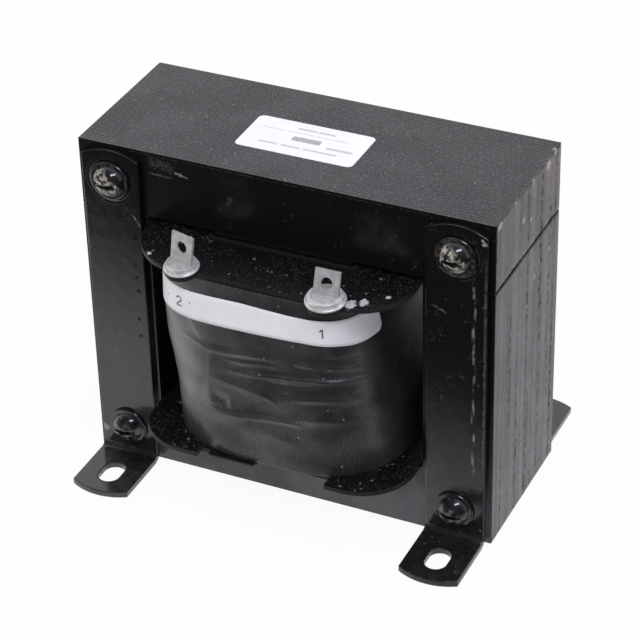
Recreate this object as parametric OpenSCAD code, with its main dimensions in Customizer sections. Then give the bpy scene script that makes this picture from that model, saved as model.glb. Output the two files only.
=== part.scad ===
// Open-frame filter choke with a gapped E-I core, four slotted mounting brackets
// and a tape-wrapped coil with two solder terminals.
// +X is the long side of the core, +Y points to the back, +Z is up.
// The origin is centred under the feet.

/* [Core] */
// Width of each outer leg of the core
outer_leg_w = 22.2; // [18:0.2:28]
// Width of the centre leg that the coil sits on
centre_leg_w = 44.4; // [36:0.2:54]
// Width of each winding window
window_w = 22.2; // [18:0.2:28]
// Height of the winding windows
window_h = 66.7; // [50:0.1:90]
// Height of the yoke that joins the legs at the bottom
yoke_h = 22.2; // [18:0.2:28]
// Height of the loose bar of the core on top
bar_h = 22.2; // [18:0.2:28]
// Depth of the stack, front to back
stack_d = 52; // [40:0.5:70]
// Thickness of one lamination
lamination_t = 0.65; // [0.5:0.05:1.3]
// How far every second lamination stands proud at the ends of the core
end_step = 0.12; // [0.05:0.01:0.4]
// How far every second lamination stands proud on the top and the bottom
top_step = 0.03; // [0.02:0.01:0.2]
// Air gap between the legs and the bar
air_gap = 0.6; // [0.3:0.05:1.5]
// Height of the stack above the surface that the feet stand on
stack_lift = 0.4; // [0.2:0.1:2]
// Inset of the corner bolts from the ends of the core
bolt_inset_x = 11.1; // [10:0.1:14]
// Inset of the corner bolts from the top and the bottom of the core
bolt_inset_z = 11.1; // [10.5:0.1:14]
// Clearance of a bolt in the core and in the brackets
bolt_clear = 0.8; // [0.3:0.1:1.5]

/* [Brackets] */
// Width of a bracket strap
bracket_w = 19; // [15:0.5:21]
// Thickness of the bracket steel
bracket_t = 1.9; // [1:0.1:3]
// Inner radius of the bend between strap and foot
bend_r = 2; // [0.5:0.1:2.4]
// Radius of the rounded ends of strap and foot
bracket_end_r = 19; // [12:0.5:60]
// Drop from the top of the core to the top of the straps
strap_drop = 1.2; // [0.5:0.1:4]
// Reach of a foot beyond the face of the core
foot_reach = 25; // [22:0.5:40]
// Width of the slot in a foot
slot_w = 7; // [4:0.1:9]
// Overall length of the slot in a foot
slot_l = 10.2; // [9.2:0.1:13]
// Distance from the face of the core to the middle of the slot
slot_reach = 14.8; // [12:0.1:16.5]

/* [Fasteners] */
// Diameter of the clamp screws
screw_d = 4.8; // [3:0.1:6]
// Diameter of the screw heads
head_d = 10; // [8:0.1:12]
// Height of the domed screw heads
head_h = 3.6; // [2:0.1:4.5]
// Width of the driver slot
driver_w = 1.3; // [0.8:0.1:2]
// Depth of the driver slot
driver_depth = 1.5; // [0.8:0.1:1.8]
// Outer diameter of the flat washers
washer_d = 12.7; // [11:0.1:14]
// Thickness of the flat washers
washer_t = 1.1; // [0.5:0.1:2]
// Outer diameter of the split lock washers
lock_d = 8.6; // [8:0.1:10.5]
// Thickness of the split lock washers
lock_t = 1.2; // [0.6:0.1:2]
// Width of the split in a lock washer
lock_split = 1; // [0.5:0.1:2]
// Size across the flats of the nuts
nut_flats = 9.5; // [8.5:0.1:11]
// Height of the nuts
nut_h = 3.3; // [2:0.1:5]
// Length of screw that stands out of the nut
screw_tail = 3; // [1:0.5:8]
// Clearance of washers and nuts round the screw
thread_clear = 0.2; // [0.1:0.05:0.5]

/* [Coil] */
// Clearance between the centre leg and the tube of the coil
tube_clear = 0.4; // [0.2:0.1:1]
// Wall of the tube that the coil is wound on
tube_t = 1.6; // [0.8:0.1:2.5]
// Room above the coil in the window
coil_clear = 1.4; // [0.4:0.1:3]
// Build of the coil at its sides, from the tube to the outside of the tape
side_build = 14.7; // [12:0.1:15]
// Build of the coil at the front and the back, from the tube to the outside of the tape
end_build = 17.4; // [15:0.1:22]
// Squareness of the coil in plan, 2 for an ellipse and more for square corners
squareness = 3.2; // [2.4:0.1:6]
// Thickness of the outer wrap of cloth tape
tape_t = 1; // [0.6:0.1:2]
// Thickness of the second lap of tape, which ends at the left front corner
lap_t = 0.4; // [0.2:0.1:0.8]
// Place of the end of the second lap, left of the middle
lap_x = 19; // [10:0.5:24]
// Thickness of the kraft paper under the tape
paper_t = 0.8; // [0.4:0.1:2]
// Margin between the copper and the flanges
copper_margin = 3; // [1.5:0.1:6]

/* [Flanges] */
// Thickness of the two fibre flanges
flange_t = 1.6; // [1:0.1:2.5]
// Clearance between a flange and the outer legs
flange_clear = 0.6; // [0.3:0.1:1.5]
// Reach of the top flange beyond the faces of the core
top_flange_reach = 18.6; // [16:0.1:21]
// Droop of the front of the top flange, which bends down at the face of the core
flange_droop = 5.5; // [0:0.5:7]
// Gap between the drooping front of the flange and the wraps under it
droop_gap = 0.1; // [0.05:0.05:0.5]
// Reach of the bottom flange beyond the faces of the core
bottom_flange_reach = 21.8; // [17:0.1:23]
// Corner radius of the flanges
flange_r = 16.6; // [10:0.1:20]
// Clearance between the tube and the flanges
flange_fit = 0.2; // [0.1:0.05:0.5]
// Left end of the broken front edge of the bottom flange
break_left = 20.7; // [16:0.1:24]
// Right end of the broken front edge of the bottom flange
break_right = 21.5; // [14:0.5:24]
// Width of the notch at the left end of the break
notch_w = 3.5; // [1:0.1:5]
// Depth of the notch at the left end of the break
notch_depth = 2.8; // [1:0.1:4]
// Right end of the thin strip that is left next to the notch, left of the middle
strip_end = 2; // [0:0.5:8]
// Distance of the strip behind the whole edge
strip_depth = 0.8; // [0.2:0.1:2]
// Thickness of the strip, whose underside has flaked off
strip_t = 0.7; // [0.4:0.1:0.8]
// Width of the flaked underside
flaked_w = 3; // [1:0.1:5]
// Depth of the break at the right, where the flange is gone to the tape
break_depth = 4.6; // [3.5:0.1:6]

/* [Terminals] */
// Distance of terminal 1 to the right of the middle
terminal_1_x = 21.8; // [16:0.1:28]
// Distance of terminal 2 to the left of the middle
terminal_2_x = 24.4; // [16:0.1:28]
// Inset of the terminals from the front edge of the top flange
terminal_inset = 1.1; // [0:0.1:3]
// Twist of terminal 2 about its own axis
terminal_2_twist = -14; // [-45:1:45]
// Lean of the blade of lug 1 to the back, out of the square with the flange
lug_1_lean = 24; // [0:1:30]
// Lean of the blade of lug 2 to the back, out of the square with the flange
lug_2_lean = 13; // [0:1:30]
// Diameter of the eyelet of terminal 1
eyelet_1_d = 12.4; // [10.5:0.1:14]
// Diameter of the eyelet of terminal 2
eyelet_2_d = 10.8; // [10.5:0.1:14]
// Height of the eyelet above the flange
eyelet_h = 2; // [1.4:0.1:3]
// Height of the rolled lower rim of the eyelet
eyelet_rim_h = 0.8; // [0.4:0.1:1]
// Step from the lower rim of the eyelet to its raised ring
eyelet_step = 0.9; // [0.5:0.1:1.2]
// Diameter of the recess in the eyelet
recess_d = 8.3; // [8.2:0.1:8.5]
// Depth of the recess in the eyelet
recess_depth = 0.9; // [0.5:0.1:1.2]
// Diameter of the shank of the eyelet in the flange
shank_d = 4; // [2.5:0.1:4.2]
// Width of the solder lug
lug_w = 7.9; // [5:0.1:7.9]
// Thickness of the solder lug
lug_t = 0.8; // [0.4:0.1:1.2]
// Length of the blade of lug 1 above its foot
lug_1_l = 8.3; // [8:0.1:14]
// Length of the blade of lug 2 above its foot
lug_2_l = 9.7; // [8:0.1:14]
// Diameter of the hole in the lug
lug_hole_d = 3.7; // [1.5:0.1:4.5]
// Distance of the hole from the end of the blade
lug_hole_drop = 4.1; // [3:0.1:4.5]
// Diameter of the leads from the coil
lead_d = 1; // [0.5:0.1:1.2]
// Run of a lead from under the eyelet back to the copper
lead_run = 6; // [5:0.1:9]

/* [Markings] */
// Height of the white band that carries the terminal numbers
band_h = 8.9; // [5:0.1:14]
// Thickness of the white band
band_t = 0.2; // [0.1:0.05:0.4]
// Distance from the top of the tape wrap down to the band
band_drop = 7.2; // [3:0.1:15]
// Right end of the band, right of the middle
band_right = 34; // [28:0.5:36]
// Distance of the left end of the band, on the side of the coil, to the front of the middle
band_front = 16; // [4:0.5:24]
// Width of the blank label
label_w = 38.1; // [25:0.1:50]
// Depth of the blank label, front to back
label_d = 19; // [12:0.1:30]
// Thickness of the blank label
label_t = 0.15; // [0.1:0.05:0.4]
// Corner radius of the blank label
label_r = 1.8; // [0.5:0.1:4]
// Shift of the label to the left of the middle
label_left = 3.2; // [-8:0.1:8]
// Shift of the label to the front of the middle
label_front = 2.2; // [-6:0.1:6]

/* [Hidden] */

$fn = 64;
eps = 0.01;
cut = 200;

core_w = 2 * outer_leg_w + 2 * window_w + centre_leg_w;
e_h = yoke_h + window_h;
e_bottom = stack_lift;
window_bottom = e_bottom + yoke_h;
joint_bottom = e_bottom + e_h;
bar_bottom = joint_bottom + air_gap;
stack_top = bar_bottom + bar_h;
face_y = stack_d / 2;
outer_leg_x = core_w / 2 - outer_leg_w / 2;

lamination_count = floor(stack_d / lamination_t);
lamination_pitch = stack_d / lamination_count;

bolt_x = core_w / 2 - bolt_inset_x;
bolt_low_z = e_bottom + bolt_inset_z;
bolt_high_z = stack_top - bolt_inset_z;
bolt_places = [for (x = [-bolt_x, bolt_x], z = [bolt_low_z, bolt_high_z]) [x, z]];
bolt_hole_d = screw_d + bolt_clear;

strap_top = stack_top - strap_drop;
bracket_face_y = face_y + bracket_t;
bend_outer_r = bend_r + bracket_t;

coil_bottom = window_bottom;
coil_top = joint_bottom + air_gap - coil_clear;
tube_x = centre_leg_w / 2 + tube_clear + tube_t;
tube_y = face_y + tube_clear + tube_t;
wrap_x = tube_x + side_build;
wrap_y = tube_y + end_build;
wrap_bottom = coil_bottom + flange_t;
wrap_top = coil_top - flange_t;
copper_bottom = wrap_bottom + copper_margin;
copper_top = wrap_top - copper_margin;

flange_x = centre_leg_w / 2 + window_w - flange_clear;
top_flange_y = face_y + top_flange_reach;
bottom_flange_y = face_y + bottom_flange_reach;
terminal_reach = top_flange_reach - terminal_inset;
terminal_y = -face_y - terminal_reach * cos(flange_droop);
band_top = wrap_top - band_drop;

// ---------- Shared shapes ----------

// Rectangle with round corners, centred
module round_rectangle(w, d, r) {
    square([w - 2 * r, d], center = true);
    square([w, d - 2 * r], center = true);
    for (x = [-1, 1], y = [-1, 1])
        translate([x * (w / 2 - r), y * (d / 2 - r)]) circle(r);
}

// Plan outline of the coil, a superellipse drawn in from the outside of the tape
function signed_power(v, n) = sign(v) * pow(abs(v), n);
module coil_outline(inset) {
    polygon([for (a = [0:4:356]) [
        (wrap_x - inset) * signed_power(cos(a), 2 / squareness),
        (wrap_y - inset) * signed_power(sin(a), 2 / squareness)
    ]]);
}

// Closed wrap of one material round the coil, between two insets
module coil_shell(outer_inset, inner_inset, z0, z1) {
    translate([0, 0, z0]) linear_extrude(z1 - z0) difference() {
        coil_outline(outer_inset);
        coil_outline(inner_inset);
    }
}

// Children turned to point out of the front face at each corner bolt
module at_bolts(y) {
    for (p = bolt_places)
        translate([p[0], y, p[1]]) rotate([90, 0, 0]) children();
}

// Children set on the drooping front of the top flange, y counted out from the face of the core
module on_droop() {
    translate([0, -face_y, coil_top]) rotate([flange_droop, 0, 0]) children();
}

// All the space over a plane at height z of the drooping front
module over_droop(z) {
    on_droop() translate([-cut, -cut, z]) cube([2 * cut, cut, cut]);
}

// Children set on the front of the top flange at the place of a terminal
module at_terminal(x) {
    on_droop() translate([x, -terminal_reach, 0]) children();
}

module bolt_holes() {
    at_bolts(cut / 2) cylinder(d = bolt_hole_d, h = cut);
}

// ---------- Core ----------

// Block of laminations: every second sheet is full size, those between fall short at the edges
module lamination_stack(w, z0, z1, bottom_step, upper_step) {
    translate([-w / 2 + end_step, -face_y, z0 + bottom_step])
        cube([w - 2 * end_step, stack_d, z1 - z0 - bottom_step - upper_step]);
    for (i = [0:2:lamination_count - 1])
        translate([-w / 2, -face_y + i * lamination_pitch, z0])
            cube([w, lamination_pitch, z1 - z0]);
}

module e_laminations() {
    color("#3a393c") difference() {
        lamination_stack(core_w, e_bottom, joint_bottom, top_step, 0);
        for (x = [-1, 1])
            translate([x * (centre_leg_w + window_w) / 2, 0, window_bottom + cut / 2])
                cube([window_w, cut, cut], center = true);
        bolt_holes();
    }
}

module i_laminations() {
    color("#3a393c") difference() {
        lamination_stack(core_w, bar_bottom, stack_top, 0, top_step);
        bolt_holes();
    }
}

// Strip of pressboard that sets the air gap over one leg
module gap_spacer(x, w) {
    color("#2b2622") translate([x - w / 2, -face_y, joint_bottom])
        cube([w, stack_d, air_gap]);
}

module left_gap_spacer() {
    gap_spacer(-outer_leg_x, outer_leg_w - 2 * end_step);
}

module centre_gap_spacer() {
    gap_spacer(0, centre_leg_w);
}

module right_gap_spacer() {
    gap_spacer(outer_leg_x, outer_leg_w - 2 * end_step);
}

// ---------- Brackets ----------

// Flat strip of steel from y = 0 to its round end at y = l
module round_ended_strip(l) {
    intersection() {
        translate([-bracket_w / 2, 0]) square([bracket_w, l]);
        translate([0, l - bracket_end_r]) circle(bracket_end_r, $fn = 128);
        translate([0, l - cut / 2]) square([bracket_w, cut], center = true);
    }
    translate([-bracket_w / 2, 0]) square([bracket_w, l - bracket_end_r]);
}

module foot_slot() {
    straight = (slot_l - slot_w) / 2;
    translate([0, slot_reach]) {
        square([slot_w, 2 * straight], center = true);
        for (y = [-straight, straight])
            translate([0, y]) circle(d = slot_w);
    }
}

// One bracket at the right of the back face, its foot reaching back
module bracket() {
    color("#242326") difference() {
        translate([bolt_x, 0, 0]) {
            // strap against the face of the core
            translate([0, face_y + bracket_t, bend_outer_r]) rotate([90, 0, 0])
                linear_extrude(bracket_t) round_ended_strip(strap_top - bend_outer_r);
            // bend
            translate([-bracket_w / 2, face_y + bend_outer_r, bend_outer_r]) rotate([90, 0, 90])
                linear_extrude(bracket_w) intersection() {
                    difference() {
                        circle(bend_outer_r);
                        circle(bend_r);
                    }
                    translate([-cut, -cut]) square(cut);
                }
            // foot
            translate([0, face_y + bend_outer_r, 0]) linear_extrude(bracket_t)
                difference() {
                    round_ended_strip(foot_reach - bend_outer_r);
                    translate([0, -bend_outer_r]) foot_slot();
                }
        }
        bolt_holes();
    }
}

module front_left_bracket() {
    mirror([1, 0, 0]) mirror([0, 1, 0]) bracket();
}

module front_right_bracket() {
    mirror([0, 1, 0]) bracket();
}

module rear_left_bracket() {
    mirror([1, 0, 0]) bracket();
}

module rear_right_bracket() {
    bracket();
}

// ---------- Clamp screws, washers and nuts ----------

module ring(outer_d, inner_d, h) {
    difference() {
        cylinder(d = outer_d, h = h);
        translate([0, 0, -eps]) cylinder(d = inner_d, h = h + 2 * eps);
    }
}

// Slotted round head on its shank; z = 0 is the underside of the head
module clamp_screw() {
    dome_r = (pow(head_d / 2, 2) + pow(head_h, 2)) / (2 * head_h);
    shank_l = washer_t + bracket_t + stack_d + bracket_t + washer_t + lock_t + nut_h + screw_tail;
    difference() {
        intersection() {
            translate([0, 0, head_h - dome_r]) sphere(dome_r);
            cylinder(d = head_d, h = head_h + eps);
        }
        translate([0, 0, head_h]) cube([head_d + 1, driver_w, 2 * driver_depth], center = true);
    }
    translate([0, 0, -shank_l]) cylinder(d = screw_d, h = shank_l);
}

module clamp_screws() {
    color("#1d1c1f") at_bolts(-bracket_face_y - washer_t) clamp_screw();
}

module head_washers() {
    color("#2a292c") at_bolts(-bracket_face_y) ring(washer_d, screw_d + thread_clear, washer_t);
}

module rear_washers() {
    color("#2a292c") at_bolts(bracket_face_y + washer_t)
        ring(washer_d, screw_d + thread_clear, washer_t);
}

module lock_washers() {
    color("#2a292c") at_bolts(bracket_face_y + washer_t + lock_t) difference() {
        ring(lock_d, screw_d + thread_clear, lock_t);
        translate([lock_d / 2, 0, lock_t / 2]) cube([lock_d, lock_split, cut], center = true);
    }
}

module hex_nuts() {
    corner_d = nut_flats / cos(30);
    color("#2a292c") at_bolts(bracket_face_y + washer_t + lock_t + nut_h) difference() {
        intersection() {
            cylinder(d = corner_d, h = nut_h, $fn = 6);
            cylinder(d1 = corner_d + 2 * nut_h - 1, d2 = corner_d + 5 * nut_h - 1, h = nut_h);
            cylinder(d1 = nut_flats, d2 = nut_flats + 4 * nut_h, h = nut_h);
        }
        translate([0, 0, -eps]) cylinder(d = screw_d + thread_clear, h = nut_h + 2 * eps);
    }
}

// ---------- Coil ----------

module coil_tube() {
    color("#8a6f4c") translate([0, 0, coil_bottom]) linear_extrude(coil_top - coil_bottom)
        difference() {
            round_rectangle(2 * tube_x, 2 * tube_y, tube_t);
            square([2 * (tube_x - tube_t), 2 * (tube_y - tube_t)], center = true);
        }
}

module copper_winding() {
    color("#a3552c") difference() {
        translate([0, 0, copper_bottom]) linear_extrude(copper_top - copper_bottom) difference() {
            coil_outline(tape_t + paper_t);
            round_rectangle(2 * tube_x, 2 * tube_y, tube_t);
        }
        over_droop(-flange_t - droop_gap);
    }
}

module kraft_paper_wrap() {
    color("#9a7a4e") difference() {
        coil_shell(tape_t, tape_t + paper_t, wrap_bottom, wrap_top);
        over_droop(-flange_t - droop_gap);
    }
}

// Cloth tape; its outermost lap stops short of the left front corner
module tape_wrap() {
    color("#2c2b2d") difference() {
        coil_shell(0, tape_t, wrap_bottom, wrap_top);
        intersection() {
            coil_shell(-1, lap_t, wrap_bottom - 1, wrap_top + 1);
            translate([-cut - lap_x, -cut, 0]) cube([cut, cut, cut]);
        }
        over_droop(-flange_t - droop_gap);
    }
}

// ---------- Flanges ----------

module flange_outline(half_d) {
    round_rectangle(2 * flange_x, 2 * half_d, flange_r);
}

module tube_opening() {
    round_rectangle(2 * (tube_x + flange_fit), 2 * (tube_y + flange_fit), tube_t + flange_fit);
}

// Side view of the top flange: flat, then bent down at the face of the core
module bent_plate() {
    front = top_flange_y + eyelet_1_d;
    fall = (front - face_y) * tan(flange_droop);
    polygon([
        [top_flange_y + 1, wrap_top],
        [top_flange_y + 1, coil_top],
        [-face_y, coil_top],
        [-front, coil_top - fall],
        [-front, coil_top - fall - flange_t / cos(flange_droop)],
        [-face_y + flange_t * tan(flange_droop / 2), wrap_top]
    ]);
}

// The plate has an ear under each eyelet, and holes for the shanks and the leads
module top_flange() {
    color("#1e1d20") difference() {
        intersection() {
            translate([-cut / 2, 0, 0]) rotate([90, 0, 90]) linear_extrude(cut) bent_plate();
            translate([0, 0, copper_bottom]) linear_extrude(cut) {
                flange_outline(top_flange_y);
                translate([terminal_1_x, terminal_y]) circle(d = eyelet_1_d - eyelet_step);
                translate([-terminal_2_x, terminal_y]) circle(d = eyelet_2_d - eyelet_step);
            }
        }
        translate([0, 0, copper_bottom]) linear_extrude(cut) tube_opening();
        for (x = [terminal_1_x, -terminal_2_x])
            at_terminal(x) translate([0, 0, -2 * flange_t]) cylinder(d = shank_d, h = 3 * flange_t);
        lead(terminal_1_x, eyelet_1_d, lead_d + 0.3);
        lead(-terminal_2_x, eyelet_2_d, lead_d + 0.3);
    }
}

// Its front edge is broken: a notch, a thin strip, then a piece gone to the tape
module bottom_flange() {
    front = -bottom_flange_y;
    color("#1e1d20") difference() {
        translate([0, 0, coil_bottom]) linear_extrude(flange_t) difference() {
            flange_outline(bottom_flange_y);
            tube_opening();
            translate([-break_left, front - 1]) square([notch_w, notch_depth + 1]);
            translate([-break_left, front - 1]) square([break_left, strip_depth + 1]);
            translate([-strip_end, front - 1]) square([strip_end + break_right, break_depth + 1]);
        }
        translate([-break_left, front - 1, coil_bottom - 1])
            cube([break_left, flaked_w + 1, flange_t - strip_t + 1]);
    }
}

// ---------- Terminals ----------

// Eyelet with a rolled lower rim, a raised ring and a recess for the foot of the lug
module eyelet(d) {
    rim_r = eyelet_rim_h / 2;
    ring_d = d - 2 * eyelet_step;
    cylinder(d = d - 2 * rim_r, h = eyelet_rim_h);
    rotate_extrude() translate([d / 2 - rim_r, rim_r]) circle(rim_r);
    difference() {
        cylinder(d = ring_d, h = eyelet_h);
        translate([0, 0, eyelet_h - recess_depth]) cylinder(d = recess_d, h = recess_depth + eps);
    }
    translate([0, 0, -flange_t]) cylinder(d = shank_d, h = flange_t);
}

module terminal_1_eyelet() {
    color("#c9c9c6") at_terminal(terminal_1_x) eyelet(eyelet_1_d);
}

module terminal_2_eyelet() {
    color("#c9c9c6") at_terminal(-terminal_2_x) eyelet(eyelet_2_d);
}

// Solder lug: a round foot in the recess of the eyelet and a blade bent up from it
module lug(blade_l, lean) {
    foot_z = eyelet_h - recess_depth;
    translate([0, 0, foot_z]) cylinder(d = recess_d - 0.2, h = lug_t);
    translate([0, 0, foot_z]) rotate([-lean, 0, 0]) difference() {
        translate([-lug_w / 2, -lug_t / 2, lug_t / 2]) cube([lug_w, lug_t, blade_l - lug_t / 2]);
        translate([0, lug_t, blade_l - lug_hole_drop]) rotate([90, 0, 0])
            cylinder(d = lug_hole_d, h = 2 * lug_t);
    }
}

module terminal_1_lug() {
    color("#b9b9b6") at_terminal(terminal_1_x) lug(lug_1_l, lug_1_lean);
}

module terminal_2_lug() {
    color("#b9b9b6") at_terminal(-terminal_2_x) rotate([0, 0, terminal_2_twist])
        lug(lug_2_l, lug_2_lean);
}

// Lead from the underside of an eyelet, through the flange and back down to the copper
module lead(x, eyelet_d, d) {
    away = norm([x, terminal_y]);
    back = [-x, -terminal_y] / away;
    start = [x, terminal_y] + back * eyelet_d * 0.3;
    start_z = coil_top + (start[1] + face_y) * tan(flange_droop);
    drop = start_z - copper_top;
    tilt = atan2(lead_run, drop);
    length = norm([lead_run, drop]);
    difference() {
        translate([start[0], start[1], start_z])
            rotate([0, 0, atan2(back[1], back[0])]) rotate([0, 180 - tilt, 0])
                translate([0, 0, -d]) cylinder(d = d, h = length + 2 * d);
        over_droop(0);
        translate([-cut, -cut, copper_top - cut]) cube([2 * cut, 2 * cut, cut]);
    }
}

module terminal_1_lead() {
    color("#b5652f") lead(terminal_1_x, eyelet_1_d, lead_d);
}

module terminal_2_lead() {
    color("#b5652f") lead(-terminal_2_x, eyelet_2_d, lead_d);
}

// ---------- Markings ----------

module number_band() {
    color("#d2cfd1") intersection() {
        coil_shell(-band_t, 0, band_top - band_h, band_top);
        translate([-cut, -cut - band_front, 0]) cube([cut + band_right, cut, cut]);
    }
}

module blank_label() {
    color("#e8e8e6") translate([-label_left, -label_front, stack_top]) linear_extrude(label_t)
        round_rectangle(label_w, label_d, label_r);
}

e_laminations();
i_laminations();
left_gap_spacer();
centre_gap_spacer();
right_gap_spacer();
front_left_bracket();
front_right_bracket();
rear_left_bracket();
rear_right_bracket();
clamp_screws();
head_washers();
rear_washers();
lock_washers();
hex_nuts();
coil_tube();
copper_winding();
kraft_paper_wrap();
tape_wrap();
top_flange();
bottom_flange();
terminal_1_lug();
terminal_2_lug();
terminal_1_eyelet();
terminal_2_eyelet();
terminal_1_lead();
terminal_2_lead();
number_band();
blank_label();
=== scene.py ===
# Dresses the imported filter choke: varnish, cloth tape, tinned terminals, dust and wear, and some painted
# reflections and highlights.
import math
import random

import bpy
import numpy as np
from mathutils import Matrix, Vector


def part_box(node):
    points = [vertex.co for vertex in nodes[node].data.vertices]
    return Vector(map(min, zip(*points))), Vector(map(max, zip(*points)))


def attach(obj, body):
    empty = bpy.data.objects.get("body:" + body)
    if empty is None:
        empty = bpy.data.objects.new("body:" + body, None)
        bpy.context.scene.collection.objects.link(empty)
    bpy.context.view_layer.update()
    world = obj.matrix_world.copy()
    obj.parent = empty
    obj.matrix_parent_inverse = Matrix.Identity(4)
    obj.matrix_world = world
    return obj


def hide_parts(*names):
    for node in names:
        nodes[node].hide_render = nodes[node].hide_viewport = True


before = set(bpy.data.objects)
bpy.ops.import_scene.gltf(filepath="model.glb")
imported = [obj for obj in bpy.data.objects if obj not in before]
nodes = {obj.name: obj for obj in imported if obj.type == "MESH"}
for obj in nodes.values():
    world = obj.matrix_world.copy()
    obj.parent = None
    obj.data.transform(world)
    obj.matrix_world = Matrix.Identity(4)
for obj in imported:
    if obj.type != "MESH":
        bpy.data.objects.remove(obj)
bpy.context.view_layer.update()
body = "root"
mm = 0.001

# Camera, placed from the middle of the underside of the core
cameraSettings = {
    "azimuth": 25.693, "elevation": 33.19, "roll": -1.549,   # degrees
    "right": -0.00202, "up": 0.04023, "distance": 0.8169, "foot": 0.0004,   # metres
    "lens": 143.99, "sensor": 36.0,   # millimetres
}


def makeCamera():
    s = cameraSettings
    a, e, roll = (math.radians(s[k]) for k in ("azimuth", "elevation", "roll"))
    back = Vector((math.sin(a) * math.cos(e), -math.cos(a) * math.cos(e), math.sin(e)))
    right = Vector((math.cos(a), math.sin(a), 0))
    up = back.cross(right)
    turnedRight = right * math.cos(roll) + up * math.sin(roll)
    turnedUp = up * math.cos(roll) - right * math.sin(roll)
    place = turnedRight * s["right"] + turnedUp * s["up"] + back * s["distance"]
    place.z += s["foot"]
    data = bpy.data.cameras.new("camera")
    data.lens = s["lens"]
    data.sensor_width = s["sensor"]
    data.clip_start, data.clip_end = 0.01, 20
    camera = bpy.data.objects.new("camera", data)
    turn = Matrix((turnedRight, turnedUp, back)).transposed().to_4x4()
    camera.matrix_world = Matrix.Translation(place) @ turn
    bpy.context.scene.collection.objects.link(camera)
    bpy.context.scene.camera = camera


makeCamera()
bpy.context.scene.view_settings.view_transform = "Standard"
print("camera placed")


# Short ways to put shader nodes together
def addNode(tree, kind, inputs=None, **settings):
    made = tree.nodes.new("ShaderNode" + kind)
    for key, value in settings.items():
        setattr(made, key, value)
    for key, value in (inputs or {}).items():
        if isinstance(value, bpy.types.NodeSocket):
            tree.links.new(value, made.inputs[key])
        else:
            made.inputs[key].default_value = value
    return made


def maths(tree, operation, first, second=0.0):
    return addNode(tree, "Math", {0: first, 1: second}, operation=operation).outputs[0]


def remap(tree, value, low, high, toLow=0.0, toHigh=1.0, kind="SMOOTHSTEP"):
    inputs = {"Value": value, "From Min": low, "From Max": high, "To Min": toLow, "To Max": toHigh}
    return addNode(tree, "MapRange", inputs, interpolation_type=kind).outputs[0]


def mixColours(tree, factor, first, second, blend="MIX"):
    made = addNode(tree, "Mix", {0: factor}, data_type="RGBA", blend_type=blend)
    for index, value in ((6, first), (7, second)):
        if isinstance(value, bpy.types.NodeSocket):
            tree.links.new(value, made.inputs[index])
        else:
            made.inputs[index].default_value = (*value, 1.0)
    return made.outputs[2]


def times(tree, first, second):
    return maths(tree, "MULTIPLY", first, second)


def oneMinus(tree, value):
    return maths(tree, "SUBTRACT", 1.0, value)


def vectorMaths(tree, operation, first, second, output="Vector"):
    made = addNode(tree, "VectorMath", {0: first, 1: second}, operation=operation)
    return made.outputs[output]


def noise(tree, vector, scale, detail, roughness=0.5):
    inputs = {"Vector": vector, "Scale": scale, "Detail": detail, "Roughness": roughness}
    return addNode(tree, "TexNoise", inputs).outputs["Fac"]


def scaled(tree, vector, scale):
    return addNode(tree, "Mapping", {"Vector": vector, "Scale": scale}).outputs[0]


def newGroup(name, inputs, outputs):
    group = bpy.data.node_groups.new(name, "ShaderNodeTree")
    kinds = {"f": "NodeSocketFloat", "v": "NodeSocketVector"}
    for label, kind in inputs.items():
        group.interface.new_socket(name=label, in_out="INPUT", socket_type=kinds[kind])
    for label, kind in outputs.items():
        group.interface.new_socket(name=label, in_out="OUTPUT", socket_type=kinds[kind])
    source = group.nodes.new("NodeGroupInput")
    target = group.nodes.new("NodeGroupOutput")
    return group, source.outputs, target.inputs


def useGroup(tree, group, inputs):
    made = tree.nodes.new("ShaderNodeGroup")
    made.node_tree = group
    for key, value in inputs.items():
        if isinstance(value, bpy.types.NodeSocket):
            tree.links.new(value, made.inputs[key])
        else:
            made.inputs[key].default_value = value
    return made.outputs


# Scattered round specks, such as dust caught in varnish
def makeSpecks():
    inputs = {"Vector": "v", "Scale": "f", "Amount": "f", "Size": "f"}
    group, given, result = newGroup("dustSpecks", inputs, {"Mask": "f"})
    cells = addNode(group, "TexVoronoi", {"Vector": given["Vector"], "Scale": given["Scale"]})
    channels = addNode(group, "SeparateColor", {0: cells.outputs["Color"]}).outputs
    size = times(group, given["Size"], channels[1])
    near = maths(group, "LESS_THAN", cells.outputs["Distance"], size)
    chosen = maths(group, "LESS_THAN", channels[0], given["Amount"])
    group.links.new(times(group, near, chosen), result["Mask"])
    return group


# Cloudy change between two values, such as thick and thin varnish
def makeClouds():
    inputs = {"Vector": "v", "Scale": "f", "Low": "f", "High": "f"}
    group, given, result = newGroup("clouds", inputs, {"Value": "f"})
    cloud = noise(group, given["Vector"], given["Scale"], 5.0, 0.6)
    spread = remap(group, cloud, 0.32, 0.68)
    span = maths(group, "SUBTRACT", given["High"], given["Low"])
    value = maths(group, "ADD", given["Low"], times(group, span, spread))
    group.links.new(value, result["Value"])
    return group


# Which way a face looks: up, sideways along X or forwards along Y
def makeFacing():
    group, given, result = newGroup("facing", {"Normal": "v"}, {"Up": "f", "Side": "f", "Front": "f"})
    parts = addNode(group, "SeparateXYZ", {0: given["Normal"]}).outputs
    group.links.new(remap(group, parts["Z"], 0.5, 0.8), result["Up"])
    group.links.new(remap(group, maths(group, "ABSOLUTE", parts["X"]), 0.5, 0.8), result["Side"])
    group.links.new(remap(group, maths(group, "ABSOLUTE", parts["Y"]), 0.5, 0.8), result["Front"])
    return group


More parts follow.
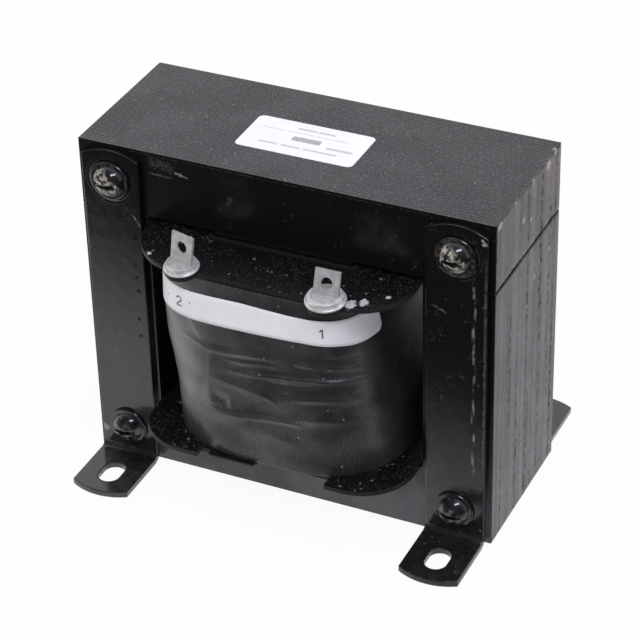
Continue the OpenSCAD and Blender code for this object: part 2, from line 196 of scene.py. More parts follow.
# Thin wandering lines, such as scratches and hairs
def makeScratches():
    inputs = {"Vector": "v", "Scale": "f", "Width": "f", "Amount": "f"}
    group, given, result = newGroup("scratches", inputs, {"Mask": "f"})
    bent = noise(group, given["Vector"], given["Scale"], 2.0)
    line = maths(group, "ABSOLUTE", maths(group, "SUBTRACT", bent, 0.5))
    thin = maths(group, "LESS_THAN", line, given["Width"])
    half = times(group, given["Scale"], 0.7)
    cover = noise(group, given["Vector"], half, 1.0)
    chosen = maths(group, "LESS_THAN", cover, given["Amount"])
    group.links.new(times(group, thin, chosen), result["Mask"])
    return group


# Ragged patches at chosen places, such as bare chips on an edge
def patches(tree, point, spots):
    ragged = noise(tree, point, 900.0, 5.0, 0.7)
    total = 0.0
    for middle, reach in spots:
        away = vectorMaths(tree, "DISTANCE", point, middle, "Value")
        inside = remap(tree, away, reach, 0.25 * reach)
        total = maths(tree, "MAXIMUM", total, inside)
    broken = maths(tree, "ADD", total, times(tree, maths(tree, "SUBTRACT", ragged, 0.5), 2.6))
    return times(tree, remap(tree, broken, 0.45, 0.75), remap(tree, total, 0.0, 0.2, 0.0, 0.8))


# Thin broken lines between pairs of places, such as scratches, worn edges and painted edge highlights
def strokes(tree, point, lines):
    broken = noise(tree, point, 1300.0, 4.0, 0.7)
    total = 0.0
    for start, end, halfWidth, dense in lines:
        span = Vector(end) - Vector(start)
        offset = vectorMaths(tree, "SUBTRACT", point, start)
        share = vectorMaths(tree, "DOT_PRODUCT", offset, span / span.length_squared, "Value")
        share = addNode(tree, "Clamp", {"Value": share}).outputs[0]
        nearest = addNode(tree, "VectorMath", {0: span, "Scale": share}, operation="SCALE")
        away = vectorMaths(tree, "DISTANCE", offset, nearest.outputs["Vector"], "Value")
        wobble = times(tree, maths(tree, "SUBTRACT", 0.55, broken), 4.0 * halfWidth)
        away = maths(tree, "ADD", away, wobble)
        toEnd = maths(tree, "MINIMUM", share, oneMinus(tree, share))
        line = times(tree, remap(tree, away, halfWidth, 0.0, 0.0, dense), remap(tree, toEnd, 0.0, 0.25))
        total = maths(tree, "MAXIMUM", total, line)
    return total


specks = makeSpecks()
clouds = makeClouds()
facing = makeFacing()
scratches = makeScratches()
print("shader groups made")


def startMaterial(name):
    material = bpy.data.materials.new(name)
    material.use_nodes = True
    tree = material.node_tree
    shader = tree.nodes["Principled BSDF"]
    coordinates = addNode(tree, "TexCoord").outputs
    return material, tree, shader, coordinates["Object"], coordinates["Normal"]


def setPlain(shader, **values):
    for name, value in values.items():
        shader.inputs[name.replace("_", " ")].default_value = value


def feed(tree, shader, **sockets):
    for name, socket in sockets.items():
        tree.links.new(socket, shader.inputs[name.replace("_", " ")])


def addBump(tree, height, strength, distance):
    made = addNode(tree, "Bump", {"Height": height, "Strength": strength, "Distance": distance})
    return made.outputs["Normal"]


# Stacked sheet edges under black varnish
coreLook = {
    # the third colour is painted grey low on the front, as a reflection of the pale floor
    "dark": (0.0030, 0.0027, 0.0032), "grain": (0.075, 0.070, 0.078), "paintedSheen": (0.060, 0.056, 0.060),
    "light": (0.050, 0.047, 0.049), "dust": (0.36, 0.32, 0.27), "joint": 0.0896,   # metres
    # bare patches on the edges: place, and how far each reaches, in metres
    "chips": (((0.0666, -0.0228, 0.1105), 0.0023), ((0.0666, 0.0155, 0.1100), 0.0028),
              ((0.0666, 0.0215, 0.1115), 0.0020), ((0.0666, 0.0030, 0.1115), 0.0011),
              ((0.0666, -0.0040, 0.1020), 0.0018), ((0.0666, -0.0110, 0.1115), 0.0011),
              ((0.0666, 0.0020, 0.0990), 0.0012), ((0.0666, 0.0180, 0.0800), 0.0012),
              ((0.0666, 0.0060, 0.0770), 0.0013), ((0.0666, 0.0000, 0.0700), 0.0011)),
    # smears, worn lines and a painted highlight along the top front edge: from, to, half width in metres, and
    # how dense
    "marks": (((-0.044, -0.026, 0.109), (-0.034, -0.026, 0.108), 0.0026, 0.10),
              ((-0.035, -0.026, 0.107), (-0.030, -0.026, 0.106), 0.0007, 0.65),
              ((-0.044, -0.026, 0.105), (-0.035, -0.026, 0.105), 0.0006, 0.16),
              ((-0.016, -0.026, 0.103), (-0.018, -0.026, 0.099), 0.0012, 0.09),
              ((0.0666, -0.0240, 0.1119), (0.0666, 0.0245, 0.1119), 0.0006, 0.26),
              # a painted highlight along the top front edge
              ((-0.0660, -0.0261, 0.1112), (0.0660, -0.0261, 0.1112), 0.0003, 0.08)),
    # a brown patch: its middle, how far it reaches, and its colour
    "rusty": ((0.0666, 0.0215, 0.1040), 0.0120, (0.075, 0.052, 0.036)),
    # sizes of the broken runs, of the broad tones and of the crumbs on the ends, per metre along X, Y and Z
    "runScale": (0, 190, 2.6), "toneScale": (0, 330, 5.0), "crumbScale": (1100, 1100, 520),
    "paintedSheenBelow": (0.030, 0.008),   # heights between which the painted reflection of the pale floor thickens low on the front, in metres
    "jointHalf": (0.00025, 0.00085),   # half width of the varnish in the joint, in metres
}


def coreVarnish():
    look = coreLook
    material, tree, shader, point, normal = startMaterial("coreVarnish")
    facingWays = useGroup(tree, facing, {"Normal": normal})
    side, up, front = facingWays["Side"], facingWays["Up"], facingWays["Front"]
    place = addNode(tree, "SeparateXYZ", {0: point}).outputs
    grain = noise(tree, point, 1500.0, 2.0)
    patchy = useGroup(tree, clouds, {"Vector": point, "Scale": 45.0, "Low": 0.0, "High": 1.0})["Value"]
    # broken dark runs between bundles of sheets, with pale crumbs beside them
    bands = noise(tree, scaled(tree, point, look["runScale"]), 1.0, 3.0, 0.75)
    broad = noise(tree, scaled(tree, point, look["toneScale"]), 1.0, 2.0)
    crumbs = noise(tree, scaled(tree, point, look["crumbScale"]), 1.0, 2.0)
    run = times(tree, remap(tree, bands, 0.50, 0.42), remap(tree, crumbs, 0.44, 0.58))
    ridge = times(tree, remap(tree, bands, 0.50, 0.62), remap(tree, crumbs, 0.46, 0.68))
    tone = mixColours(tree, times(tree, remap(tree, grain, 0.52, 0.72), up), look["dark"], look["grain"])
    tone = mixColours(tree, times(tree, side, ridge), tone, look["light"])
    # the front is painted greyer low down, as a reflection of the pale floor
    low = times(tree, remap(tree, place["Z"], *look["paintedSheenBelow"]), front)
    tone = mixColours(tree, times(tree, low, remap(tree, patchy, 0.0, 1.0, 0.45, 1.0)), tone, look["paintedSheen"])
    dust = useGroup(tree, specks, {"Vector": point, "Scale": 1000.0, "Amount": 0.08, "Size": 0.42})["Mask"]
    dust = times(tree, dust, remap(tree, maths(tree, "MAXIMUM", up, side), 0.0, 1.0, 0.04, 0.22))
    tone = mixColours(tree, dust, tone, look["dust"])
    middle, reach, brown = look["rusty"]
    away = vectorMaths(tree, "DISTANCE", point, middle, "Value")
    tone = mixColours(tree, times(tree, side, remap(tree, away, reach, 0.0, 0.0, 0.9)), tone, brown)
    # chips, smears and worn lines, and the painted edge highlight, all in the dust colour
    worn = maths(tree, "MAXIMUM", times(tree, patches(tree, point, look["chips"]), 0.85),
                 strokes(tree, point, look["marks"]))
    tone = mixColours(tree, worn, tone, look["dust"])
    # the joint is filled with black varnish that runs out unevenly
    away = maths(tree, "ABSOLUTE", maths(tree, "SUBTRACT", place["Z"], look["joint"]))
    wide = noise(tree, point, 160.0, 3.0)
    seam = maths(tree, "LESS_THAN", away, remap(tree, wide, 0.35, 0.7, *look["jointHalf"]))
    shine = oneMinus(tree, times(tree, side, times(tree, run, 0.75)))
    even = remap(tree, broad, 0.36, 0.64, 0.66, 0.86)   # the ends are a little uneven from sheet to sheet
    even = maths(tree, "ADD", times(tree, side, even), oneMinus(tree, side))
    shine = times(tree, times(tree, shine, even), remap(tree, patchy, 0.0, 1.0, 0.78, 0.94))
    shine = times(tree, shine, oneMinus(tree, times(tree, seam, side)))
    height = maths(tree, "ADD", grain, times(tree, times(tree, side, crumbs), 1.5))
    rough = oneMinus(tree, front)
    height = times(tree, height, remap(tree, rough, 0.0, 1.0, 0.25, 1.0))
    feed(tree, shader, Base_Color=tone, Coat_Weight=shine, Normal=addBump(tree, height, 0.35, 0.00008))
    setPlain(shader, Roughness=0.6, Specular_IOR_Level=0.1, Coat_Roughness=0.19, Coat_IOR=1.58)
    return material


# Bent straps under glossy varnish
bracketLook = {
    # the second colour is painted grey low on the straps, as a reflection of the pale floor
    "dark": (0.0035, 0.0032, 0.0036), "floorSheen": (0.030, 0.028, 0.029), "dust": (0.30, 0.285, 0.25),
    # dusty run of varnish down the right strap, in metres
    "run": {"x": 0.0612, "halfWidth": 0.00070, "wander": 0.0003,
            "top": 0.096, "foot": 0.024, "ends": 0.006},
    # scratches, and painted highlights down the straps' outer edges: from, to, half width in metres, and how
    # dense
    "marks": (((-0.049, -0.028, 0.091), (-0.046, -0.028, 0.086), 0.0005, 0.6),
              ((0.048, -0.028, 0.083), (0.053, -0.028, 0.081), 0.0005, 0.30),
              # painted highlights down the outer edges of the straps
              ((0.0645, -0.0279, 0.1080), (0.0645, -0.0279, 0.0200), 0.0005, 0.26),
              ((-0.0648, -0.0279, 0.1000), (-0.0648, -0.0279, 0.0680), 0.0005, 0.26)),
    # dull black nicks scattered down the left strap, in metres
    "nicks": {"seed": 4, "count": 6, "fromInnerEdge": 0.0027, "spread": 0.0004, "y": -0.028,
              "low": 0.046, "high": 0.084, "within": (0.1, 0.9), "smallest": 0.0009, "largest": 0.0015},
    "edgeRadius": 0.0007,   # metres
    "face": (-0.0272, -0.0278),   # what lies further forward than this is on the straps' front, in metres
    "floorSheenBelow": (0.075, 0.020), "floorSheenFades": (0.02, 0.05),   # where the painted reflection of the pale floor fades: metres up, and metres to the right
    # middle of an upper screw as (x, z), and rings of varnish round it, painted pale as dust and as their
    # highlight: radius, half width, how dense
    "screws": (0.0555, 0.1010), "rings": ((0.0069, 0.00035, 0.26), (0.0081, 0.00045, 0.05)),
    "chips": (((-0.0640, -0.0285, 0.0085), 0.0022), ((-0.0652, -0.0280, 0.1020), 0.0008),
              ((0.0641, -0.0280, 0.1068), 0.0013), ((0.0633, -0.0280, 0.1078), 0.0009),
              ((0.0640, -0.0285, 0.0060), 0.0010)),
}


def nickPlaces():
    # small nicks scattered down the left strap, near its inner edge
    s = bracketLook["nicks"]
    rng = random.Random(s["seed"])
    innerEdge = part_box("front_left_bracket")[1][0]
    step = (s["high"] - s["low"]) / s["count"]
    places = []
    for k in range(s["count"]):
        x = innerEdge - s["fromInnerEdge"] + rng.uniform(-s["spread"], s["spread"])
        z = s["low"] + (k + rng.uniform(*s["within"])) * step
        places.append(((x, s["y"], z), rng.uniform(s["smallest"], s["largest"])))
    return places


def bracketVarnish():
    look = bracketLook
    material, tree, shader, point, normal = startMaterial("bracketVarnish")
    place = addNode(tree, "SeparateXYZ", {0: point}).outputs
    front = useGroup(tree, facing, {"Normal": normal})["Front"]
    patchy = useGroup(tree, clouds, {"Vector": point, "Scale": 60.0, "Low": 0.0, "High": 1.0})["Value"]
    streaky = noise(tree, scaled(tree, point, (420, 420, 210)), 1.0, 4.0, 0.7)
    # painted reflection: the straps are greyer low down, and less so on the right strap
    low = remap(tree, place["Z"], *look["floorSheenBelow"])
    low = times(tree, low, remap(tree, place["X"], *look["floorSheenFades"], 1.0, 0.5))
    floorSheen = times(tree, low, remap(tree, patchy, 0.0, 1.0, 0.35, 1.0))
    floorSheen = times(tree, floorSheen, remap(tree, streaky, 0.30, 0.62, 0.35, 1.0))
    tone = mixColours(tree, floorSheen, look["dark"], look["floorSheen"])
    marks = useGroup(tree, scratches, {
        "Vector": point, "Scale": 150.0, "Width": 0.0035, "Amount": 0.44})["Mask"]
    dust = useGroup(tree, specks, {"Vector": point, "Scale": 1100.0, "Amount": 0.035, "Size": 0.5})["Mask"]
    tone = mixColours(tree, times(tree, marks, 0.10), tone, look["dust"])
    tone = mixColours(tree, times(tree, dust, 0.16), tone, look["dust"])
    # dust caught along a run of varnish
    run = look["run"]
    wander = noise(tree, point, 120.0, 2.0)
    middle = remap(tree, wander, 0.3, 0.7, run["x"] - run["wander"], run["x"] + run["wander"])
    away = maths(tree, "ABSOLUTE", maths(tree, "SUBTRACT", place["X"], middle))
    line = remap(tree, away, run["halfWidth"], 0.0)
    line = times(tree, line, remap(tree, place["Z"], run["foot"], run["foot"] + run["ends"]))
    line = times(tree, line, remap(tree, place["Z"], run["top"], run["top"] - run["ends"]))
    line = times(tree, line, remap(tree, place["Y"], *look["face"]))
    line = times(tree, times(tree, line, front), remap(tree, streaky, 0.42, 0.62))
    # the dusty run, scratches and painted edge highlights, all in the dust colour
    worn = maths(tree, "MAXIMUM", times(tree, line, 0.55), strokes(tree, point, look["marks"]))
    worn = maths(tree, "MAXIMUM", worn, times(tree, patches(tree, point, look["chips"]), 0.8))
    screwX, screwZ = look["screws"]
    offX = maths(tree, "SUBTRACT", maths(tree, "ABSOLUTE", place["X"]), screwX)
    offZ = maths(tree, "SUBTRACT", place["Z"], screwZ)
    reach = maths(tree, "SQRT", maths(tree, "ADD", times(tree, offX, offX), times(tree, offZ, offZ)))
    rings = 0.0
    for radius, halfWidth, dense in look["rings"]:
        away = maths(tree, "ABSOLUTE", maths(tree, "SUBTRACT", reach, radius))
        rings = maths(tree, "MAXIMUM", rings, remap(tree, away, halfWidth, 0.0, 0.0, dense))
    rings = times(tree, rings, remap(tree, place["Y"], *look["face"]))
    # the rings are painted pale as dust and as their highlight, most on the outer lower side
    aslant = maths(tree, "SUBTRACT", offX, offZ)
    ringDustAndHighlight = times(tree, rings, remap(tree, aslant, -0.004, 0.006, 0.15, 1.0))
    worn = maths(tree, "MAXIMUM", worn, times(tree, ringDustAndHighlight, remap(tree, streaky, 0.40, 0.6)))
    tone = mixColours(tree, worn, tone, look["dust"])
    waves = noise(tree, point, 190.0, 2.0)
    height = maths(tree, "ADD", times(tree, waves, 2.2), times(tree, streaky, 0.45))
    height = maths(tree, "ADD", height, times(tree, rings, 9.0))
    shine = remap(tree, floorSheen, 0.0, 1.0, 1.0, 0.9)
    shine = times(tree, shine, oneMinus(tree, patches(tree, point, nickPlaces())))
    softEdge = addNode(tree, "Bevel", {"Radius": look["edgeRadius"]}, samples=6).outputs["Normal"]
    bump = addNode(tree, "Bump", {
        "Height": height, "Strength": 0.22, "Distance": 0.00016, "Normal": softEdge})
    feed(tree, shader, Base_Color=tone, Coat_Weight=shine, Normal=bump.outputs["Normal"])
    feed(tree, shader, Coat_Normal=bump.outputs["Normal"])
    setPlain(shader, Roughness=0.5, Specular_IOR_Level=0.1, Coat_Roughness=0.13, Coat_IOR=1.62)
    return material


# Round heads, washers and nuts under a thick coat of varnish, with dust on the shaded side
fastenerLook = {
    "dark": (0.004, 0.0038, 0.0042), "dust": (0.42, 0.395, 0.34), "rust": (0.12, 0.08, 0.045),
    "dustFrom": (-0.60, -0.34, -0.55),   # the way that the dusty side looks
    "dustAbove": (0.03, 0.09),   # heights between which the dust thickens, in metres
    "domes": (-0.0293, -0.0299),   # where the round heads begin in front of their washers, in metres
}


def fastenerVarnish():
    look = fastenerLook
    material, tree, shader, point, normal = startMaterial("fastenerVarnish")
    place = addNode(tree, "SeparateXYZ", {0: point}).outputs
    dirt = noise(tree, point, 620.0, 5.0, 0.7)
    turned = vectorMaths(tree, "DOT_PRODUCT", normal, look["dustFrom"], "Value")
    dome = remap(tree, place["Y"], *look["domes"], 0.12, 1.0)
    caught = times(tree, remap(tree, turned, -0.34, 0.10), remap(tree, dirt, 0.45, 0.57))
    caught = times(tree, caught, dome)
    caught = times(tree, caught, remap(tree, place["Z"], *look["dustAbove"], 0.25, 1.0))
    crumbs = times(tree, remap(tree, dirt, 0.62, 0.70), 0.30)
    caught = times(tree, maths(tree, "MAXIMUM", caught, crumbs), 0.8)
    dust = mixColours(tree, remap(tree, dirt, 0.35, 0.6), look["rust"], look["dust"])
    tone = mixColours(tree, caught, look["dark"], dust)
    feed(tree, shader, Base_Color=tone, Coat_Weight=remap(tree, caught, 0.0, 0.6, 1.0, 0.35))
    feed(tree, shader, Normal=addBump(tree, dirt, 0.30, 0.00025))
    setPlain(shader, Roughness=0.45, Specular_IOR_Level=0.2, Coat_Roughness=0.07, Coat_IOR=1.6)
    return material


# Black vulcanised fibre with grit caught in the varnish
fibreLook = {
    "dark": (0.0022, 0.0018, 0.0022), "grit": (0.20, 0.185, 0.18), "edge": (0.016, 0.0145, 0.014),
    # the crust colour is painted pale as the glints of crusted varnish
    "crustAndGlint": (0.50, 0.48, 0.50), "tan": (0.42, 0.24, 0.15),
    # crusted varnish by the right terminal, painted pale as its glints, and a bared corner of the bottom
    # flange
    "crustsAndGlints": (((0.0292, -0.0425, 0.0868), 0.0030), ((0.0325, -0.0405, 0.0870), 0.0026),
               ((0.0262, -0.0437, 0.0866), 0.0016), ((0.0380, -0.0360, 0.0872), 0.0014),
               ((-0.0365, -0.0405, 0.0872), 0.0012)),
    "bared": (((0.0300, -0.0440, 0.0225), 0.0016),),
}


def fibreVarnish():
    look = fibreLook
    material, tree, shader, point, normal = startMaterial("fibreVarnish")
    up = useGroup(tree, facing, {"Normal": normal})["Up"]
    rough = noise(tree, point, 1500.0, 3.0, 0.8)
    sandy = times(tree, remap(tree, rough, 0.54, 0.68), 0.42)
    patchy = useGroup(tree, clouds, {"Vector": point, "Scale": 120.0, "Low": 0.25, "High": 1.0})["Value"]
    coarse = useGroup(tree, specks, {"Vector": point, "Scale": 800.0, "Amount": 0.14, "Size": 0.42})["Mask"]
    grit = maths(tree, "MAXIMUM", times(tree, sandy, patchy), times(tree, coarse, 0.55))
    tone = mixColours(tree, oneMinus(tree, up), look["dark"], look["edge"])
    tone = mixColours(tree, times(tree, grit, up), tone, look["grit"])
    # crusted varnish, painted pale where it glints
    tone = mixColours(tree, patches(tree, point, look["crustsAndGlints"]), tone, look["crustAndGlint"])
    tone = mixColours(tree, patches(tree, point, look["bared"]), tone, look["tan"])
    feed(tree, shader, Base_Color=tone, Normal=addBump(tree, rough, 0.6, 0.00020))
    setPlain(shader, Roughness=0.4, Specular_IOR_Level=0.22)
    return material


# Woven cloth tape soaked in varnish
tapeLook = {
    # the third colour is painted light for the left flank
    "dark": (0.0110, 0.0100, 0.0106), "thin": (0.115, 0.109, 0.110), "left": (0.150, 0.147, 0.143),
    "speck": (0.30, 0.29, 0.28), "thread": 0.00064,   # metres from one thread to the next
    "wander": 0.0008,   # how far the threads stray, in metres
    # how the threads run where the tape was laid aslant at the upper left, and where that starts
    "slant": (0.80, 0.60), "slantLeftOf": (0.010, 0.002), "slantAbove": (0.053, 0.058),
    "litLeftOf": (-0.012, -0.027), "litAbove": (0.028, 0.042),   # the left part, painted paler as light falls on the left flank, in metres
}


def weave(tree, across, upward):
    # raised threads that cross each other
    turns = 2 * math.pi / tapeLook["thread"]
    first = maths(tree, "SINE", times(tree, across, turns))
    second = maths(tree, "SINE", times(tree, upward, turns * 0.8))
    return maths(tree, "ADD", times(tree, first, second), times(tree, first, 0.7))


def tapeCloth():
    look = tapeLook
    material, tree, shader, point, normal = startMaterial("tapeCloth")
    cloth = addNode(tree, "Attribute", attribute_name="cloth").outputs["Vector"]
    parts = addNode(tree, "SeparateXYZ", {0: cloth}).outputs
    place = addNode(tree, "SeparateXYZ", {0: point}).outputs
    wander = noise(tree, point, 380.0, 2.0)
    across = maths(tree, "ADD", parts["X"], times(tree, wander, look["wander"]))
    upright = weave(tree, across, parts["Y"])
    c, s = look["slant"]
    slanted = weave(tree, maths(tree, "ADD", times(tree, across, c), times(tree, parts["Y"], s)),
                    maths(tree, "SUBTRACT", times(tree, parts["Y"], c), times(tree, across, s)))
    lean = times(tree, remap(tree, place["X"], *look["slantLeftOf"]),
                 remap(tree, place["Z"], *look["slantAbove"]))
    both = maths(tree, "ADD", times(tree, upright, oneMinus(tree, lean)),
                 times(tree, slanted, lean))
    soaked = useGroup(tree, clouds, {"Vector": point, "Scale": 75.0, "Low": 0.0, "High": 1.0})["Value"]
    fuzz = noise(tree, point, 1700.0, 2.0)
    threads = times(tree, remap(tree, both, -0.5, 1.4), remap(tree, fuzz, 0.36, 0.60, 0.35, 1.0))
    worn = times(tree, remap(tree, soaked, 0.0, 1.0, 0.15, 1.0), threads)
    tone = mixColours(tree, worn, look["dark"], look["thin"])
    # painted light: the left flank is made paler where light falls on it
    left = times(tree, remap(tree, place["X"], *look["litLeftOf"]),
                 remap(tree, place["Z"], *look["litAbove"]))
    tone = mixColours(tree, times(tree, left, remap(tree, worn, 0.0, 1.0, 0.45, 0.9)), tone, look["left"])
    speck = useGroup(tree, specks, {
        "Vector": point, "Scale": 1200.0, "Amount": 0.012, "Size": 0.45})["Mask"]
    tone = mixColours(tree, times(tree, speck, 0.5), tone, look["speck"])
    shine = times(tree, remap(tree, soaked, 0.0, 1.0, 0.70, 1.0), remap(tree, both, -1.2, 0.8, 0.40, 1.0))
    height = maths(tree, "ADD", both, times(tree, fuzz, 1.5))
    feed(tree, shader, Base_Color=tone, Coat_Weight=shine, Normal=addBump(tree, height, 0.32, 0.00007))
    setPlain(shader, Roughness=0.55, Specular_IOR_Level=0.3, Coat_Roughness=0.33, Coat_IOR=1.8)
    return material


def plainPaper(name, colour, roughness):
    material, tree, shader, point, normal = startMaterial(name)
    fibres = noise(tree, point, 1500.0, 4.0)
    cloud = useGroup(tree, clouds, {"Vector": point, "Scale": 90.0, "Low": 0.94, "High": 1.0})["Value"]
    tone = mixColours(tree, 1.0, colour, cloud, "MULTIPLY")
    feed(tree, shader, Base_Color=tone, Normal=addBump(tree, fibres, 0.08, 0.00005))
    setPlain(shader, Roughness=roughness, Specular_IOR_Level=0.35)
    return material


# Dull tin, with bright solder where it flowed
def tinnedMetal(name, colour, roughness, metallic=0.85):
    material, tree, shader, point, normal = startMaterial(name)
    stain = useGroup(tree, clouds, {"Vector": point, "Scale": 420.0, "Low": 0.0, "High": 1.0})["Value"]
    tone = mixColours(tree, stain, tuple(0.72 * c for c in colour), colour)
    worn = remap(tree, stain, 0.0, 1.0, roughness + 0.12, roughness)
    pits = noise(tree, point, 1500.0, 2.0)
    feed(tree, shader, Base_Color=tone, Roughness=worn, Normal=addBump(tree, pits, 0.06, 0.00004))
    setPlain(shader, Metallic=metallic)
    return material


def plainBoard(name, colour):
    material, tree, shader, point, normal = startMaterial(name)
    fibres = noise(tree, point, 900.0, 5.0)
    darker = tuple(c * 0.6 for c in colour)
    feed(tree, shader, Base_Color=mixColours(tree, fibres, darker, colour))
    feed(tree, shader, Normal=addBump(tree, fibres, 0.2, 0.0001))
    setPlain(shader, Roughness=0.8, Specular_IOR_Level=0.2)
    return material


# Label with plain grey bars where lines of print would be
labelLook = {
    "paper": (0.80, 0.79, 0.82), "bar": (0.16, 0.155, 0.165),
    # middle and half size of each bar as shares of the label, and how dense it is
    "bars": ((-0.10, 0.62, 0.16, 0.055, 0.50), (0.24, 0.62, 0.15, 0.055, 0.50),
             (-0.62, 0.36, 0.20, 0.035, 0.30), (-0.16, 0.36, 0.22, 0.035, 0.30),
             (0.38, 0.36, 0.28, 0.035, 0.30), (0.02, 0.00, 0.24, 0.13, 0.78),
             (0.62, -0.20, 0.22, 0.06, 0.50), (-0.52, -0.52, 0.16, 0.05, 0.50),
             (-0.14, -0.52, 0.16, 0.05, 0.50), (0.36, -0.52, 0.28, 0.05, 0.50)),
}


def labelPaper():
    look = labelLook
    material, tree, shader, point, normal = startMaterial("labelPaper")
    low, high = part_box("blank_label")
    place = addNode(tree, "SeparateXYZ", {0: point}).outputs
    shares = []
    for axis in (0, 1):
        middle, half = (low[axis] + high[axis]) / 2, (high[axis] - low[axis]) / 2
        shares.append(remap(tree, place[axis], middle - half, middle + half, -1.0, 1.0, "LINEAR"))
    total = 0.0
    for x, y, halfX, halfY, dense in look["bars"]:
        outside = []
        for share, middle, half in ((shares[0], x, halfX), (shares[1], y, halfY)):
            away = maths(tree, "ABSOLUTE", maths(tree, "SUBTRACT", share, middle))
            outside.append(maths(tree, "SUBTRACT", away, half))
        inside = maths(tree, "LESS_THAN", maths(tree, "MAXIMUM", *outside), 0.0)
        total = maths(tree, "MAXIMUM", total, times(tree, inside, dense))
    fibres = noise(tree, point, 1500.0, 4.0)
    cloud = useGroup(tree, clouds, {"Vector": point, "Scale": 90.0, "Low": 0.96, "High": 1.0})["Value"]
    tone = mixColours(tree, 1.0, look["paper"], cloud, "MULTIPLY")
    tone = mixColours(tree, times(tree, total, remap(tree, fibres, 0.3, 0.7, 0.75, 1.0)), tone, look["bar"])
    feed(tree, shader, Base_Color=tone, Normal=addBump(tree, fibres, 0.08, 0.00005))
    setPlain(shader, Roughness=0.5, Specular_IOR_Level=0.35)
    return material


looks = {
    "core": coreVarnish(),
    "bracket": bracketVarnish(),
    "fastener": fastenerVarnish(),
    "fibre": fibreVarnish(),
    "tape": tapeCloth(),
    "band": plainPaper("whiteTape", (0.66, 0.645, 0.665), 0.45),
    "label": labelPaper(),
    "lug": tinnedMetal("dullTin", (0.58, 0.575, 0.57), 0.40, 0.5),
    "eyelet": tinnedMetal("brightTin", (0.80, 0.795, 0.78), 0.24, 0.55),
    "spacer": plainBoard("varnishedBoard", (0.008, 0.007, 0.006)),
    "board": plainBoard("coilBoard", (0.012, 0.010, 0.009)),
    "paper": plainPaper("kraftPaper", (0.36, 0.24, 0.13), 0.8),
    "copper": tinnedMetal("enamelledCopper", (0.44, 0.17, 0.07), 0.3),
    "ink": plainPaper("greyInk", (0.09, 0.09, 0.095), 0.6),
}
nodeLooks = {
    "e_laminations": "core", "i_laminations": "core", "left_gap_spacer": "spacer",
    "centre_gap_spacer": "spacer", "right_gap_spacer": "spacer", "front_left_bracket": "bracket",
    "front_right_bracket": "bracket", "rear_left_bracket": "bracket", "rear_right_bracket": "bracket",
    "clamp_screws": "fastener", "head_washers": "fastener", "rear_washers": "fastener",
    "lock_washers": "fastener", "hex_nuts": "fastener", "coil_tube": "board", "copper_winding": "copper",
    "kraft_paper_wrap": "paper", "tape_wrap": "tape", "top_flange": "fibre", "bottom_flange": "fibre",
    "terminal_1_lug": "lug", "terminal_2_lug": "lug", "terminal_1_eyelet": "eyelet",
    "terminal_2_eyelet": "eyelet", "terminal_1_lead": "copper", "terminal_2_lead": "copper",
    "number_band": "band", "blank_label": "label",
}
for nodeName, look in nodeLooks.items():
    slots = nodes[nodeName].data.materials
    slots.clear()
    slots.append(looks[look])
print("materials made")

# Small rounded edges that catch the light, in millimetres
edgeRounding = {
    "top_flange": 0.25, "bottom_flange": 0.25, "terminal_1_lug": 0.12,
    "terminal_2_lug": 0.12, "head_washers": 0.45, "rear_washers": 0.3, "lock_washers": 0.15,
}


def roundEdges(item, width):
    joined = item.modifiers.new("joinedFaces", "WELD")
    joined.merge_threshold = 0.001 * mm
    rounding = item.modifiers.new("softEdge", "BEVEL")
    rounding.width = width * mm
    rounding.segments = 3
    rounding.limit_method = "ANGLE"
    rounding.angle_limit = math.radians(35)
    rounding.use_clamp_overlap = True


for nodeName, width in edgeRounding.items():
    roundEdges(nodes[nodeName], width)
print("edges rounded")


# Meshes from rows of points
def addMesh(name, vertices, faces, material, slotName, replaced=(), smooth=True):
    mesh = bpy.data.meshes.new(name)
    mesh.from_pydata([tuple(v) for v in vertices], [], [tuple(int(i) for i in f) for f in faces])
    mesh.validate()
    mesh.polygons.foreach_set("use_smooth", [smooth] * len(mesh.polygons))
    mesh.materials.append(looks[material])
    item = bpy.data.objects.new(name, mesh)
    bpy.context.scene.collection.objects.link(item)
    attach(item, body)
    if replaced:
        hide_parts(*replaced)
    return item


def gridFaces(rows, columns, closed=False, start=0):
    faces = []
    for r in range(rows - 1):
        for c in range(columns if closed else columns - 1):
            a, b = start + r * columns + c, start + r * columns + (c + 1) % columns
            faces.append((a, b, b + columns, a + columns))
    return faces


# Outline of the wrapped coil: fuller at the upper left, and leaning in on the right towards the top
coilShape = {
    "halfX": 38.9, "halfY": 45.4, "squareness": 3.2,   # millimetres and a power
    "leftTop": 2.0, "leftTopSquareness": 4.2, "leftLowSquareness": 3.1,
    "flareFrom": 32.0, "flareTo": 80.0,   # heights between which the left side swells
    "leftTuck": 2.0, "tuckFrom": 58.0, "tuckTo": 80.0,   # the left side is drawn in again at the top
    "rightIn": 8.0, "rightTopSquareness": 4.8, "leanFrom": 24.0, "leanTo": 80.0,
    "underFlange": 0.1,   # room between the wraps and the top flange
}


def smoothstep(value):
    value = np.clip(value, 0.0, 1.0)
    return value * value * (3 - 2 * value)


